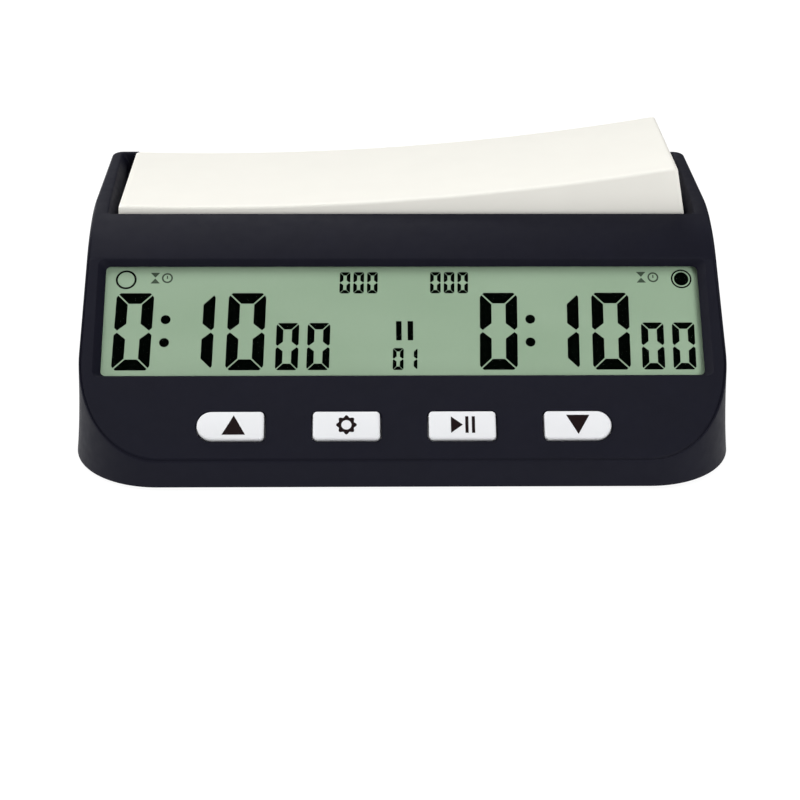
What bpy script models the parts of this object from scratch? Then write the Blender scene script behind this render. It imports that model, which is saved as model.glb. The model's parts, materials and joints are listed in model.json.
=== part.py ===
"""Digital chess clock: a wedge-shaped case with a seesaw rocker bar, a wide display and four buttons.

Every size below is in millimetres; the helpers turn it into metres.
Case frame: X to the right, Y backwards from the foot of the front lip, Z up from the case's underside.
Face frame: X to the right, Y up the sloped face from the lip's top edge, Z out of the face.
Rocker frame: its origin is the rocker's hinge, and the bar is level from end to end in it.
"""

import math

import bmesh
import bpy
from mathutils import Vector

MM = 0.001
GAP = 0.3
SMOOTH_ANGLE = math.radians(30)

# Case outline and side profile
CASE_DEPTH = 96.5
TOP_HALF_WIDTH = 76.7
FLARE = 2.8
FLARE_HEIGHT = 20.0
FRONT_CORNER_RADIUS = 21.5
REAR_CORNER_RADIUS = 3.0
LIP_HEIGHT = 6.8
FACE_ANGLE = math.radians(40.5)
CREST_RADIUS = 33.0
TOP_HEIGHT = 48.9
EDGE_FILLET = 1.0
WALL = 2.0

# Trough that the rocker lies in: each side widens to the rear by the spread, and is bevelled at the top
TROUGH_HALF_WIDTH = 71.8
TROUGH_SPREAD = 1.4
TROUGH_BEVEL = 1.3
TROUGH_BEVEL_DEPTH = 2.5
TROUGH_FRONT = 53.3
TROUGH_REAR = 94.9
TROUGH_FLOOR = 34.0
TROUGH_WALL = 1.3
REAR_NOTCH_HALF_WIDTH = 70.0
REAR_NOTCH_DEPTH = 1.2

# Rocker bar
PIVOT_HEIGHT = 39.0
ROCKER_HALF_ANGLE = math.radians(4.14)
ROCKER_HALF_LENGTH = 69.7
ROCKER_FRONT = 53.9
ROCKER_REAR = 94.2
ROCKER_TOP_ABOVE_PIVOT = 12.17
ROCKER_SKIRT = 13.5
ROCKER_BEND_RADIUS = 696.0
ROCKER_END_DRAFT = math.radians(2.0)
ROCKER_WALL = 1.8
ROCKER_EDGE = 0.9
HUB_HALF_WIDTH = 5.0
HUB_BOTTOM = -3.2
HUB_FRONT = 59.9
HUB_REAR = 88.2
BEARING_THICKNESS = 2.0
BEARING_GAP = 0.4
AXLE_RADIUS = 1.5
STOP_PAD_X = 62.0
TONGUE_Y = 68.5
TONGUE_SCREWS = [(-3.2, 64.9), (3.2, 72.4)]

# Window and display, in the face frame: (x, up the face), depth below the face is negative
WINDOW_HALF_WIDTH = 72.45
WINDOW_LOW = 22.7
WINDOW_HIGH = 51.7
WINDOW_BEVEL_SIDE = 1.65
WINDOW_BEVEL_LOW = 1.0
WINDOW_BEVEL_HIGH = 1.05
WINDOW_CORNER = 1.2
LENS_THICKNESS = 1.0
GLASS_HALF_WIDTH = 72.9
GLASS_LOW = 20.9
GLASS_HIGH = 53.9
GLASS_TOP = -3.6
GLASS_THICKNESS = 1.8
REFLECTOR_THICKNESS = 0.3
BOARD_TOP = -8.0
BOARD_THICKNESS = 1.6
BOARD_HALF_WIDTH = 60.0
BOARD_LOW = 5.0
BOARD_HIGH = 58.9
BOARD_BOSSES = [(-50.0, 16.6), (50.0, 16.6), (-50.0, 56.7), (50.0, 56.7)]

# Buttons, in the face frame
BUTTON_HALF_LENGTH = 7.9
BUTTON_HALF_HEIGHT = 3.5
BUTTON_CENTRE = 8.9
BUTTON_SPACING = 27.28
BUTTON_PROUD = 0.9
BUTTON_CORNER = 1.0

# Underside
PLATE_THICKNESS = 2.0
FOOT_HEIGHT = 1.0
FOOT_RADIUS = 4.6
FEET = [(-52.0, 10.0), (52.0, 10.0), (-52.0, 86.0), (52.0, 86.0)]
CASE_SCREWS = [(-66.0, 11.5), (66.0, 11.5), (-66.0, 85.0), (66.0, 85.0)]
BATTERY_RADIUS = 7.25
BATTERY_LENGTH = 50.5
BATTERY_Y = 82.5
BATTERY_Z = 9.5
BAY_HALF_LENGTH = 29.5
BAY_HALF_DEPTH = 9.5
BAY_CEILING = 18.6
BAY_WALL = 1.5
DOOR_HALF_WIDTH = 27.2
DOOR_THICKNESS = 1.7
DOOR_LIP_HEIGHT = 6.0
POWER_SWITCH = (52.0, 66.0)
POWER_TRAVEL = 3.0

# Turn switch under the trough
SWITCH_BOARD_Z = 20.8
SLIDER_Z = 25.8
SLIDER_HEIGHT = 2.8
SWITCH_POSTS = [(-13.0, 65.5), (13.0, 65.5)]
SWITCH_FRONT = 60.0
SPRING_TURNS = 4

BASE_HALF_WIDTH = TOP_HALF_WIDTH + FLARE
FACE_RUN = (TOP_HEIGHT - LIP_HEIGHT) / math.tan(FACE_ANGLE)
CREST_Y = FACE_RUN + CREST_RADIUS * math.tan(FACE_ANGLE / 2)
CREST_Z = TOP_HEIGHT - CREST_RADIUS
BEARING_FRONTS = (HUB_FRONT - BEARING_GAP - BEARING_THICKNESS, HUB_REAR + BEARING_GAP)
TONGUE_TIP = SLIDER_Z + 0.6 + GAP - PIVOT_HEIGHT
SWITCH_BOARD_TOP = SWITCH_BOARD_Z + 1.2
SLIDER_ARM = PIVOT_HEIGHT - SLIDER_Z - SLIDER_HEIGHT / 2
SLIDER_REST_X = SLIDER_ARM * math.sin(ROCKER_HALF_ANGLE)


# ---------------------------------------------------------------- outlines

def arc(centre_x, centre_y, radius, start, end, steps):
    points = []
    for index in range(steps + 1):
        angle = math.radians(start + (end - start) * index / steps)
        points.append((centre_x + radius * math.cos(angle), centre_y + radius * math.sin(angle)))
    return points


def circle(centre_x, centre_y, radius, steps=20):
    return arc(centre_x, centre_y, radius, 0, 360, steps)[:-1]


def rounded_rectangle(left, right, low, high, radius, steps=4, left_radius=None):
    """left_radius is for an outline whose left corners differ from its right ones."""
    other = radius if left_radius is None else left_radius
    points = arc(right - radius, high - radius, radius, 0, 90, steps)
    points += arc(left + other, high - other, other, 90, 180, steps)
    points += arc(left + other, low + other, other, 180, 270, steps)
    points += arc(right - radius, low + radius, radius, 270, 360, steps)
    return points


def strip(points, thickness):
    """Outline of a thin strip that follows the given points."""
    left = []
    right = []
    for index, (x, y) in enumerate(points):
        before = points[max(index - 1, 0)]
        after = points[min(index + 1, len(points) - 1)]
        run = math.hypot(after[0] - before[0], after[1] - before[1])
        side_x = -(after[1] - before[1]) / run * thickness / 2
        side_y = (after[0] - before[0]) / run * thickness / 2
        left.append((x + side_x, y + side_y))
        right.append((x - side_x, y - side_y))
    return left + right[::-1]


# ---------------------------------------------------------------- shells: lists of sections

def prism(outline, *heights):
    return [[(x, y, height) for x, y in outline] for height in heights]


def box(left, right, front, rear, low, high):
    return prism([(left, front), (right, front), (right, rear), (left, rear)], low, high)


def cylinder(x, y, radius, low, high, steps=20):
    return prism(circle(x, y, radius, steps), low, high)


def turned(x, y, profile, steps=20):
    """A shape turned about an upright axis, from (radius, height) pairs."""
    return [[(px, py, height) for px, py in circle(x, y, radius, steps)] for radius, height in profile]


def along_x(sections):
    """Turns sections that stack along Z into sections that stack along X."""
    return [[(height, x, y) for x, y, height in section] for section in sections]


def along_y(sections):
    return [[(x, height, y) for x, y, height in section] for section in sections]


# ---------------------------------------------------------------- objects

def clear_scene():
    for item in list(bpy.data.objects):
        bpy.data.objects.remove(item, do_unlink=True)


def make_material(name, colour, roughness, metallic=0.0):
    material = bpy.data.materials.new(name)
    material.use_nodes = True
    shader = material.node_tree.nodes["Principled BSDF"]
    shader.inputs["Base Color"].default_value = (*colour, 1.0)
    shader.inputs["Roughness"].default_value = roughness
    shader.inputs["Metallic"].default_value = metallic
    return material


def make_empty(name, parent=None, location=(0, 0, 0), rotation=(0, 0, 0)):
    empty = bpy.data.objects.new(name, None)
    empty.location = Vector(location) * MM
    empty.rotation_euler = rotation
    empty.parent = parent
    bpy.context.scene.collection.objects.link(empty)
    return empty


def cap_in_strips(mesh_data, ring):
    """Closes a ring whose points mirror left to right with strips that run straight across."""
    last = len(ring) - 1
    for index in range(len(ring) // 2 - 1):
        mesh_data.faces.new((ring[index], ring[index + 1], ring[last - index - 1], ring[last - index]))


def solid(name, shells, material=None, parent=None, curved_top=False):
    """One mesh object made of closed shells."""
    mesh_data = bmesh.new()
    for sections in shells:
        rings = [[mesh_data.verts.new(Vector(point) * MM) for point in section] for section in sections]
        for lower, upper in zip(rings, rings[1:]):
            for index in range(len(lower)):
                following = (index + 1) % len(lower)
                mesh_data.faces.new((lower[index], lower[following], upper[following], upper[index]))
        mesh_data.faces.new(rings[0])
        if curved_top:
            cap_in_strips(mesh_data, rings[-1])
        else:
            mesh_data.faces.new(rings[-1])
    bmesh.ops.recalc_face_normals(mesh_data, faces=mesh_data.faces)
    mesh = bpy.data.meshes.new(name)
    mesh_data.to_mesh(mesh)
    mesh_data.free()
    mesh.shade_smooth()
    mesh.set_sharp_from_angle(angle=SMOOTH_ANGLE)
    item = bpy.data.objects.new(name, mesh)
    item.parent = parent
    if material:
        mesh.materials.append(material)
    bpy.context.scene.collection.objects.link(item)
    return item


def guide(name, shells, parent=None, curved_top=False):
    """A cutter: it shapes other solids and isn't a piece of the clock."""
    item = solid(name, shells, parent=parent, curved_top=curved_top)
    item.hide_render = True
    item.display_type = "WIRE"
    return item


def boolean(target, other, operation):
    modifier = target.modifiers.new(operation.lower(), "BOOLEAN")
    modifier.operation = operation
    modifier.object = other
    modifier.solver = "EXACT"


def cut(target, shells, parent=None):
    boolean(target, guide(f"guide_{target.name}_{len(target.modifiers)}", shells, parent), "DIFFERENCE")


def join(target, shells, parent=None):
    boolean(target, guide(f"guide_{target.name}_{len(target.modifiers)}", shells, parent), "UNION")


def wire(name, points, radius, material, parent, sides=1):
    """A bent wire or spring: a round tube along the points."""
    curve = bpy.data.curves.new(name, "CURVE")
    curve.dimensions = "3D"
    curve.bevel_depth = radius * MM
    curve.bevel_resolution = sides
    curve.use_fill_caps = True
    spline = curve.splines.new("POLY")
    spline.points.add(len(points) - 1)
    for point, target in zip(points, spline.points):
        target.co = (*(Vector(point) * MM), 1.0)
    curve.materials.append(material)
    item = bpy.data.objects.new(name, curve)
    item.parent = parent
    bpy.context.scene.collection.objects.link(item)
    return item


def smooth_path(knots, steps):
    """Points along a Bezier curve with the knots as its control points."""
    points = []
    degree = len(knots) - 1
    for step in range(steps + 1):
        share = step / steps
        point = Vector((0, 0, 0))
        for index, knot in enumerate(knots):
            weight = math.comb(degree, index) * share ** index * (1 - share) ** (degree - index)
            point += Vector(knot) * weight
        points.append(point)
    return points


# ---------------------------------------------------------------- case

def case_height(y, below):
    """Height of the case's top surface at y, or of the surface that lies below it by that much."""
    crest = CREST_RADIUS - below
    if y >= CREST_Y:
        return TOP_HEIGHT - below
    if y <= CREST_Y - crest * math.sin(FACE_ANGLE):
        return LIP_HEIGHT + y * math.tan(FACE_ANGLE) - below / math.cos(FACE_ANGLE)
    return CREST_Z + math.sqrt(crest ** 2 - (CREST_Y - y) ** 2)


def case_side(inset, below=0.0, corner_steps=10, crest_steps=8):
    """Right half of the footprint, from the start of the front corner to the rear edge."""
    corner_x = BASE_HALF_WIDTH - FRONT_CORNER_RADIUS
    points = arc(corner_x, FRONT_CORNER_RADIUS, FRONT_CORNER_RADIUS - inset, -90, 0, corner_steps)
    for step in range(crest_steps + 1):
        angle = FACE_ANGLE * (1 - step / crest_steps)
        points.append((BASE_HALF_WIDTH - inset, CREST_Y - (CREST_RADIUS - below) * math.sin(angle)))
    rear_x = BASE_HALF_WIDTH - REAR_CORNER_RADIUS
    points += arc(rear_x, CASE_DEPTH - REAR_CORNER_RADIUS, REAR_CORNER_RADIUS - inset, 0, 90, 4)
    return points


def half_width(height):
    """Half the case's width: the side walls flare out towards the base."""
    return TOP_HALF_WIDTH + FLARE * math.exp(-height / FLARE_HEIGHT)


def case_ring(inset, below, drop, share=1.0):
    """A ring around the case, at a share of the height that lies a drop below its top surface."""
    right = []
    for x, y in case_side(inset, below):
        height = (case_height(y, below) - drop) * share
        right.append((x * half_width(height) / BASE_HALF_WIDTH, y, height))
    return right + [(-x, y, height) for x, y, height in reversed(right)]


def case_sections(inset, below, bottom, fillet):
    base = case_side(inset, below)
    sections = [[(x, y, bottom) for x, y in base] + [(-x, y, bottom) for x, y in reversed(base)]]
    sections += [case_ring(inset, below, fillet, share) for share in (0.1, 0.22, 0.4, 0.65)]
    for step in range(4):
        angle = math.radians(30 * step)
        rounding = fillet * (1 - math.cos(angle))
        sections.append(case_ring(inset + rounding, below, fillet * (1 - math.sin(angle))))
    return sections


def trough_section(side, height):
    """The trough's outline at a height: side moves its two sides outwards."""
    front = TROUGH_HALF_WIDTH + side
    rear = front + TROUGH_SPREAD
    corners = [(-front, TROUGH_FRONT), (front, TROUGH_FRONT), (rear, TROUGH_REAR), (-rear, TROUGH_REAR)]
    return [(x, y, height) for x, y in corners]


def window_outline(below):
    """The window's opening at a depth below the face: its four sides are bevelled."""
    share = (WALL - below) / WALL
    side = WINDOW_HALF_WIDTH + WINDOW_BEVEL_SIDE * share
    return rounded_rectangle(-side, side, WINDOW_LOW - WINDOW_BEVEL_LOW * share,
                             WINDOW_HIGH + WINDOW_BEVEL_HIGH * share, WINDOW_CORNER + 0.4 * share)


def button_outline(index, grow):
    """Outline of one of the four buttons: the outer ends of the first and the last are round."""
    centre = (index - 1.5) * BUTTON_SPACING
    half_length = BUTTON_HALF_LENGTH + grow
    half_height = BUTTON_HALF_HEIGHT + grow
    corner = max(BUTTON_CORNER + grow, 0.3)
    left = half_height if index == 0 else corner
    right = half_height if index == 3 else corner
    return rounded_rectangle(centre - half_length, centre + half_length, BUTTON_CENTRE - half_height,
                             BUTTON_CENTRE + half_height, right, 6, left)


def build_upper_case(case, face, plastic):
    upper = solid("upper_case", [case_sections(0.0, 0.0, 0.0, EDGE_FILLET)], plastic, case, curved_top=True)

    hollow = guide("guide_hollow", [case_sections(WALL, WALL, -1.0, 0.2)], case, curved_top=True)
    trough_block = box(-90, 90, TROUGH_FRONT - TROUGH_WALL, 110, TROUGH_FLOOR - WALL, 70)
    cut(hollow, [trough_block], case)
    bosses = [cylinder(x, y, 3.0, PLATE_THICKNESS + GAP, 60, 16) for x, y in CASE_SCREWS]
    posts = [cylinder(x, y, 2.4, SWITCH_BOARD_TOP + GAP, 33.0, 16) for x, y in SWITCH_POSTS]
    cut(hollow, bosses + posts, case)
    cut(hollow, [cylinder(x, up, 1.8, BOARD_TOP + GAP, 5, 16) for x, up in BOARD_BOSSES], face)
    boolean(upper, hollow, "DIFFERENCE")

    pit_sections = [trough_section(0.0, TROUGH_FLOOR),
                    trough_section(0.0, TOP_HEIGHT - TROUGH_BEVEL_DEPTH),
                    trough_section(2 * TROUGH_BEVEL, TOP_HEIGHT + TROUGH_BEVEL_DEPTH)]
    pit = guide("guide_pit", [pit_sections], case)
    bearing = [(-5.0, 30.0), (5.0, 30.0)] + arc(0, PIVOT_HEIGHT, 4.0, 0, 180, 8)
    cut(pit, [along_y(prism(bearing, front, front + BEARING_THICKNESS)) for front in BEARING_FRONTS], case)
    boolean(upper, pit, "DIFFERENCE")
    cut(upper, [box(-REAR_NOTCH_HALF_WIDTH, REAR_NOTCH_HALF_WIDTH, TROUGH_REAR - 1, CASE_DEPTH + 1,
                    TOP_HEIGHT - REAR_NOTCH_DEPTH, 60)], case)

    window = [[(x, y, -below) for x, y in window_outline(below)] for below in (WALL + 1.5, -1.5)]
    cut(upper, [window], face)
    cut(upper, [prism(button_outline(index, GAP), -WALL - 2, 3) for index in range(4)], face)

    openings = [along_y(cylinder(0, PIVOT_HEIGHT, AXLE_RADIUS + 0.25, front - 0.2, front + 2.2))
                for front in BEARING_FRONTS]
    openings.append(box(-8, 8, 62.9, 74.6, 30, 35))
    notch = DOOR_HALF_WIDTH + GAP
    openings.append(box(-notch, notch, CASE_DEPTH - WALL - 1, CASE_DEPTH + 2, -1, DOOR_LIP_HEIGHT + GAP))
    cut(upper, openings, case)
    holes = [cylinder(x, y, 1.5, 1, 9.2, 12) for x, y in CASE_SCREWS]
    holes += [cylinder(x, y, 1.1, 21, 27, 12) for x, y in SWITCH_POSTS]
    cut(upper, holes, case)
    cut(upper, [cylinder(x, up, 1.1, BOARD_TOP - 1, -4.2, 12) for x, up in BOARD_BOSSES], face)


def build_window_and_display(face, materials):
    solid("window_lens", [prism(rounded_rectangle(-73.6, 73.6, 20.6, 54.2, 1.5), -3.3, -3.3 + LENS_THICKNESS)],
          materials["clear"], face)
    glass_bottom = GLASS_TOP - GLASS_THICKNESS
    glass = box(-GLASS_HALF_WIDTH, GLASS_HALF_WIDTH, GLASS_LOW, GLASS_HIGH, glass_bottom, GLASS_TOP)
    solid("lcd_glass", [glass], materials["display"], face)
    reflector_top = glass_bottom - GAP
    solid("lcd_reflector", [box(-72.5, 72.5, 23.0, 52.0, reflector_top - REFLECTOR_THICKNESS, reflector_top)],
          materials["foil"], face)
    frame_bottom = BOARD_TOP + GAP
    frame = solid("lcd_frame", [box(-74.4, 74.4, 19.6, 54.6, frame_bottom, GLASS_TOP)],
                  materials["black"], face)
    cut(frame, [box(-73.2, 73.2, 20.6, 54.2, frame_bottom - 2, GLASS_TOP + 2)], face)
    for name, low in (("zebra_strip_lower", 20.95), ("zebra_strip_upper", 52.35)):
        solid(name, [box(-55, 55, low, low + 1.5, frame_bottom, reflector_top)], materials["zebra"], face)


def build_main_board(face, materials):
    board_bottom = BOARD_TOP - BOARD_THICKNESS
    outline = rounded_rectangle(-BOARD_HALF_WIDTH, BOARD_HALF_WIDTH, BOARD_LOW, BOARD_HIGH, 2.0)
    board = solid("main_board", [prism(outline, board_bottom, BOARD_TOP)], materials["board"], face)
    cut(board, [cylinder(x, up, 1.3, board_bottom - 1, BOARD_TOP + 1, 12) for x, up in BOARD_BOSSES], face)
    back = board_bottom - GAP
    solid("controller_chip", [box(8, 20, 32, 44, back - 1.6, back)], materials["black"], face)
    solid("quartz_crystal", [along_x(cylinder(28, back - 1.5, 1.5, 24, 32, 12))], materials["steel"], face)
    solid("capacitor", [turned(-12, 44, [(2.2, back - 7), (2.5, back - 6.7), (2.5, back)])],
          materials["capacitor"], face)
    solid("buzzer", [turned(-30, 35, [(5.4, back - 6.5), (6.0, back - 6.0), (6.0, back)])],
          materials["black"], face)
    for index, (x, up) in enumerate(BOARD_BOSSES):
        solid(f"board_screw_{index + 1}", [small_screw(x, up, back, 5.0)], materials["steel"], face)


def small_screw(x, y, seat, length):
    """A 1.6 mm self-tapping screw that goes up from its seat, with a pan head below it."""
    profile = [(1.5, seat - 1.1), (1.8, seat - 0.7), (1.8, seat), (0.8, seat), (0.8, seat + length)]
    return turned(x, y, profile, 12)


def build_keys(face, materials):
    back = BOARD_TOP + GAP
    mat = rounded_rectangle(-52, 52, 5.4, 12.0, 1.0)
    keypad = solid("keypad_mat", [prism(mat, back, back + 0.8)], materials["silicone"], face)
    domes = []
    for index in range(4):
        x = (index - 1.5) * BUTTON_SPACING
        domes.append(turned(x, BUTTON_CENTRE, [(2.9, back + 0.4), (2.9, back + 0.9), (2.2, back + 2.2)], 16))
    join(keypad, domes, face)
    for index, name in enumerate(("up", "settings", "play_pause", "down")):
        stack = [(-1.5, -4.1), (-1.5, -3.1), (0.8, -3.1), (0.8, -2.3), (0.0, -2.3)]
        stack += [(0.0, BUTTON_PROUD - 0.4), (-0.12, BUTTON_PROUD - 0.12), (-0.4, BUTTON_PROUD)]
        sections = [[(x, y, height) for x, y in button_outline(index, grow)] for grow, height in stack]
        key_frame = make_empty(f"key_frame_{name}", face)
        solid(f"button_{name}", [sections], materials["button"], key_frame)


# ---------------------------------------------------------------- rocker

def bar_point(along, below):
    """X and Z of a point on the rocker: along its curved top from the middle, and below that top."""
    angle = along / ROCKER_BEND_RADIUS
    radius = ROCKER_BEND_RADIUS + below
    centre = ROCKER_TOP_ABOVE_PIVOT + ROCKER_BEND_RADIUS
    return radius * math.sin(angle), centre - radius * math.cos(angle)


def bar_section(end, along, inset, skirt):
    """A ring across the rocker. end is -1 or 1 at the drafted end faces, and 0 between them."""
    edge = ROCKER_EDGE
    front = ROCKER_FRONT + inset
    rear = ROCKER_REAR - inset
    ring = [(front, skirt), (front, inset + edge), (front + 0.3 * edge, inset + 0.3 * edge),
            (front + edge, inset), (rear - edge, inset), (rear - 0.3 * edge, inset + 0.3 * edge),
            (rear, inset + edge), (rear, skirt)]
    points = []
    for y, below in ring:
        x, z = bar_point(along + end * below * math.tan(ROCKER_END_DRAFT), below)
        points.append((x, y, z))
    return points


def bar_sections(inset, skirt):
    end = ROCKER_HALF_LENGTH - inset
    sections = []
    for side in (-1, 1):
        rounded = []
        for angle in (90, 45, 0):
            lowering = ROCKER_EDGE * (1 - math.cos(math.radians(angle)))
            along = end - ROCKER_EDGE * (1 - math.sin(math.radians(angle)))
            rounded.append(bar_section(side, side * along, inset + lowering, skirt))
        sections.append(rounded)
    middle = [bar_section(0, end * step / 7, inset, skirt) for step in range(-6, 7)]
    return sections[0] + middle + sections[1][::-1]


def build_rocker(case, axis, materials):
    shell = solid("rocker_bar", [bar_sections(0.0, ROCKER_SKIRT)], materials["ivory"], axis)
    hollow = guide("guide_rocker_hollow", [bar_sections(ROCKER_WALL, ROCKER_SKIRT + 3)], axis)
    hub = box(-HUB_HALF_WIDTH, HUB_HALF_WIDTH, HUB_FRONT, HUB_REAR, HUB_BOTTOM, 20)
    ribs = []
    for along in (-STOP_PAD_X, -28, 28, STOP_PAD_X):
        x, low = bar_point(along, ROCKER_SKIRT)
        ribs.append(box(x - 0.7, x + 0.7, 50, 100, low - 0.02, 30))
    cut(hollow, [hub] + ribs, axis)
    boolean(shell, hollow, "DIFFERENCE")
    holes = [along_y(cylinder(0, 0, AXLE_RADIUS + GAP, HUB_FRONT - 1, HUB_REAR + 1))]
    holes += [cylinder(x, y, 1.1, HUB_BOTTOM - 1, 1.5, 12) for x, y in TONGUE_SCREWS]
    cut(shell, holes, axis)

    flange_top = HUB_BOTTOM - GAP
    flange_bottom = flange_top - 1.9
    tongue = solid("rocker_tongue", [box(-4.8, 4.8, 63.3, 74.0, flange_bottom, flange_top)],
                   materials["black"], axis)
    join(tongue, [box(-1.8, 1.8, TONGUE_Y - 2, TONGUE_Y + 2, TONGUE_TIP, flange_top - 0.5)], axis)
    cut(tongue, [cylinder(x, y, 1.1, flange_bottom - 1, flange_top + 1, 12) for x, y in TONGUE_SCREWS], axis)
    for index, (x, y) in enumerate(TONGUE_SCREWS):
        solid(f"tongue_screw_{index + 1}", [small_screw(x, y, flange_bottom - GAP, 4.8)],
              materials["steel"], axis)

    solid("rocker_axle", [along_y(cylinder(0, PIVOT_HEIGHT, AXLE_RADIUS, 56.1, 92.0))],
          materials["steel"], case)
    clip = arc(0, PIVOT_HEIGHT, 3.0, -60, 240, 16) + arc(0, PIVOT_HEIGHT, AXLE_RADIUS + GAP, 240, -60, 16)
    for name, front in (("front", 56.5), ("rear", BEARING_FRONTS[1] + BEARING_THICKNESS + GAP)):
        solid(f"axle_clip_{name}", [along_y(prism(clip, front, front + 0.7))], materials["steel"], case)
    rib_x, rib_low = bar_point(STOP_PAD_X, ROCKER_SKIRT)
    rib_drop = rib_x * math.sin(ROCKER_HALF_ANGLE) - rib_low * math.cos(ROCKER_HALF_ANGLE)
    pad_top = PIVOT_HEIGHT - rib_drop - GAP
    for name, x in (("left", -STOP_PAD_X), ("right", STOP_PAD_X)):
        outline = rounded_rectangle(x - 3, x + 3, 70, 83, 1.0)
        solid(f"stop_pad_{name}", [prism(outline, TROUGH_FLOOR + GAP, pad_top)], materials["rubber"], case)


def build_turn_switch(case, materials):
    outline = rounded_rectangle(-17, 17, 60, 71, 1.0)
    board = solid("switch_board", [prism(outline, SWITCH_BOARD_Z, SWITCH_BOARD_TOP)], materials["board"], case)
    cut(board, [cylinder(x, y, 1.3, SWITCH_BOARD_Z - 1, SWITCH_BOARD_TOP + 1, 12) for x, y in SWITCH_POSTS],
        case)
    for index, (x, y) in enumerate(SWITCH_POSTS):
        solid(f"switch_screw_{index + 1}", [small_screw(x, y, SWITCH_BOARD_Z - GAP, 5.0)],
              materials["steel"], case)
    body = box(-6.5, 6.5, TONGUE_Y - 2.3, TONGUE_Y + 2.3, SWITCH_BOARD_TOP + GAP, SLIDER_Z - GAP)
    solid("turn_switch_housing", [body], materials["steel"], case)

    slider_frame = make_empty("slider_frame", case, (SLIDER_REST_X, 0, 0))
    slider_top = SLIDER_Z + SLIDER_HEIGHT
    slider = solid("turn_switch_slider",
                   [box(-4.2, 4.2, TONGUE_Y - 2.1, TONGUE_Y + 2.1, SLIDER_Z, slider_top)],
                   materials["black"], slider_frame)
    cut(slider, [box(-2.3, 2.3, TONGUE_Y - 5, TONGUE_Y + 5, SLIDER_Z + 0.4, slider_top + 1)], slider_frame)

    ribbon = [(SWITCH_FRONT - GAP, 21.4), (55.0, 21.2), (49.5, 21.8), (45.2, 23.6), (42.4, 26.4), (40.9, 28.2)]
    solid("ribbon_cable", [along_x(prism(strip(ribbon, 0.5), -5, 5))], materials["ribbon"], case)


# ---------------------------------------------------------------- underside

def build_lower_case(case, plastic):
    side = case_side(WALL + GAP + BASE_HALF_WIDTH - half_width(PLATE_THICKNESS), 0.0, 8, 1)
    outline = side + [(-x, y) for x, y in reversed(side)]
    lower = solid("lower_case", [prism(outline, 0.0, PLATE_THICKNESS)], plastic, case)
    half_length = BAY_HALF_LENGTH + BAY_WALL
    bay_front = BATTERY_Y - BAY_HALF_DEPTH
    bay_rear = BATTERY_Y + BAY_HALF_DEPTH
    join(lower, [box(-half_length, half_length, bay_front - BAY_WALL, bay_rear + BAY_WALL,
                     1.0, BAY_CEILING + BAY_WALL)], case)
    cut(lower, [box(-BAY_HALF_LENGTH, BAY_HALF_LENGTH, bay_front, bay_rear, 1.5, BAY_CEILING)], case)
    way = DOOR_HALF_WIDTH + GAP
    openings = [box(-way, way, bay_front + 0.5, 100, -1, PLATE_THICKNESS)]
    openings += [cylinder(x, y, FOOT_RADIUS + GAP, -1, 0.6, 24) for x, y in FEET]
    openings += [cylinder(x, y, 2.8, -1, 1.2, 16) for x, y in CASE_SCREWS]
    openings += [box(-36, -24, y - 0.6, y + 0.6, -1, 3) for y in (34, 37, 40)]
    switch_x, switch_y = POWER_SWITCH
    openings.append(box(switch_x - 3.3, switch_x + 3.3, switch_y - 2, switch_y + 2, -1, 3))
    cut(lower, openings, case)
    cut(lower, [cylinder(x, y, 1.5, 0, 3, 12) for x, y in CASE_SCREWS], case)


def build_underside(case, materials):
    screw = [(2.5, 0.2), (2.5, 0.9), (1.15, 0.9), (1.15, 8.6)]
    for index, (x, y) in enumerate(CASE_SCREWS):
        solid(f"case_screw_{index + 1}", [turned(x, y, screw, 16)], materials["steel"], case)
    for index, (x, y) in enumerate(FEET):
        shape = turned(x, y, [(FOOT_RADIUS - 0.4, -FOOT_HEIGHT), (FOOT_RADIUS, -FOOT_HEIGHT + 0.4),
                              (FOOT_RADIUS, GAP)], 24)
        solid(f"foot_{index + 1}", [shape], materials["rubber"], case)

    door_frame = make_empty("door_frame", case)
    door_front = BATTERY_Y - BAY_HALF_DEPTH + 0.5 + GAP
    door = solid("battery_door", [box(-DOOR_HALF_WIDTH, DOOR_HALF_WIDTH, door_front, CASE_DEPTH - 0.2,
                                      0.0, DOOR_THICKNESS)], materials["case"], door_frame)
    join(door, [box(-DOOR_HALF_WIDTH, DOOR_HALF_WIDTH, CASE_DEPTH - WALL, CASE_DEPTH - 0.2,
                    0.5, DOOR_LIP_HEIGHT)], door_frame)
    cut(door, [box(-8, 8, y - 0.4, y + 0.4, -1, 0.4) for y in (86, 88, 90, 92)], door_frame)

    switch_x, switch_y = POWER_SWITCH
    solid("power_switch_housing", [box(switch_x - 6, switch_x + 6, switch_y - 3.5, switch_y + 3.5,
                                       PLATE_THICKNESS + GAP, PLATE_THICKNESS + 4.5)], materials["steel"], case)
    knob_frame = make_empty("knob_frame", case, (switch_x - POWER_TRAVEL / 2, switch_y, 0))
    knob = []
    for inset, height in ((0.3, 0.2), (0.0, 0.5), (0.0, PLATE_THICKNESS)):
        outline = rounded_rectangle(-1.5 + inset, 1.5 - inset, -1.7 + inset, 1.7 - inset, 0.3)
        knob.append([(x, y, height) for x, y in outline])
    solid("power_switch_knob", [knob], materials["button"], knob_frame)


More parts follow.
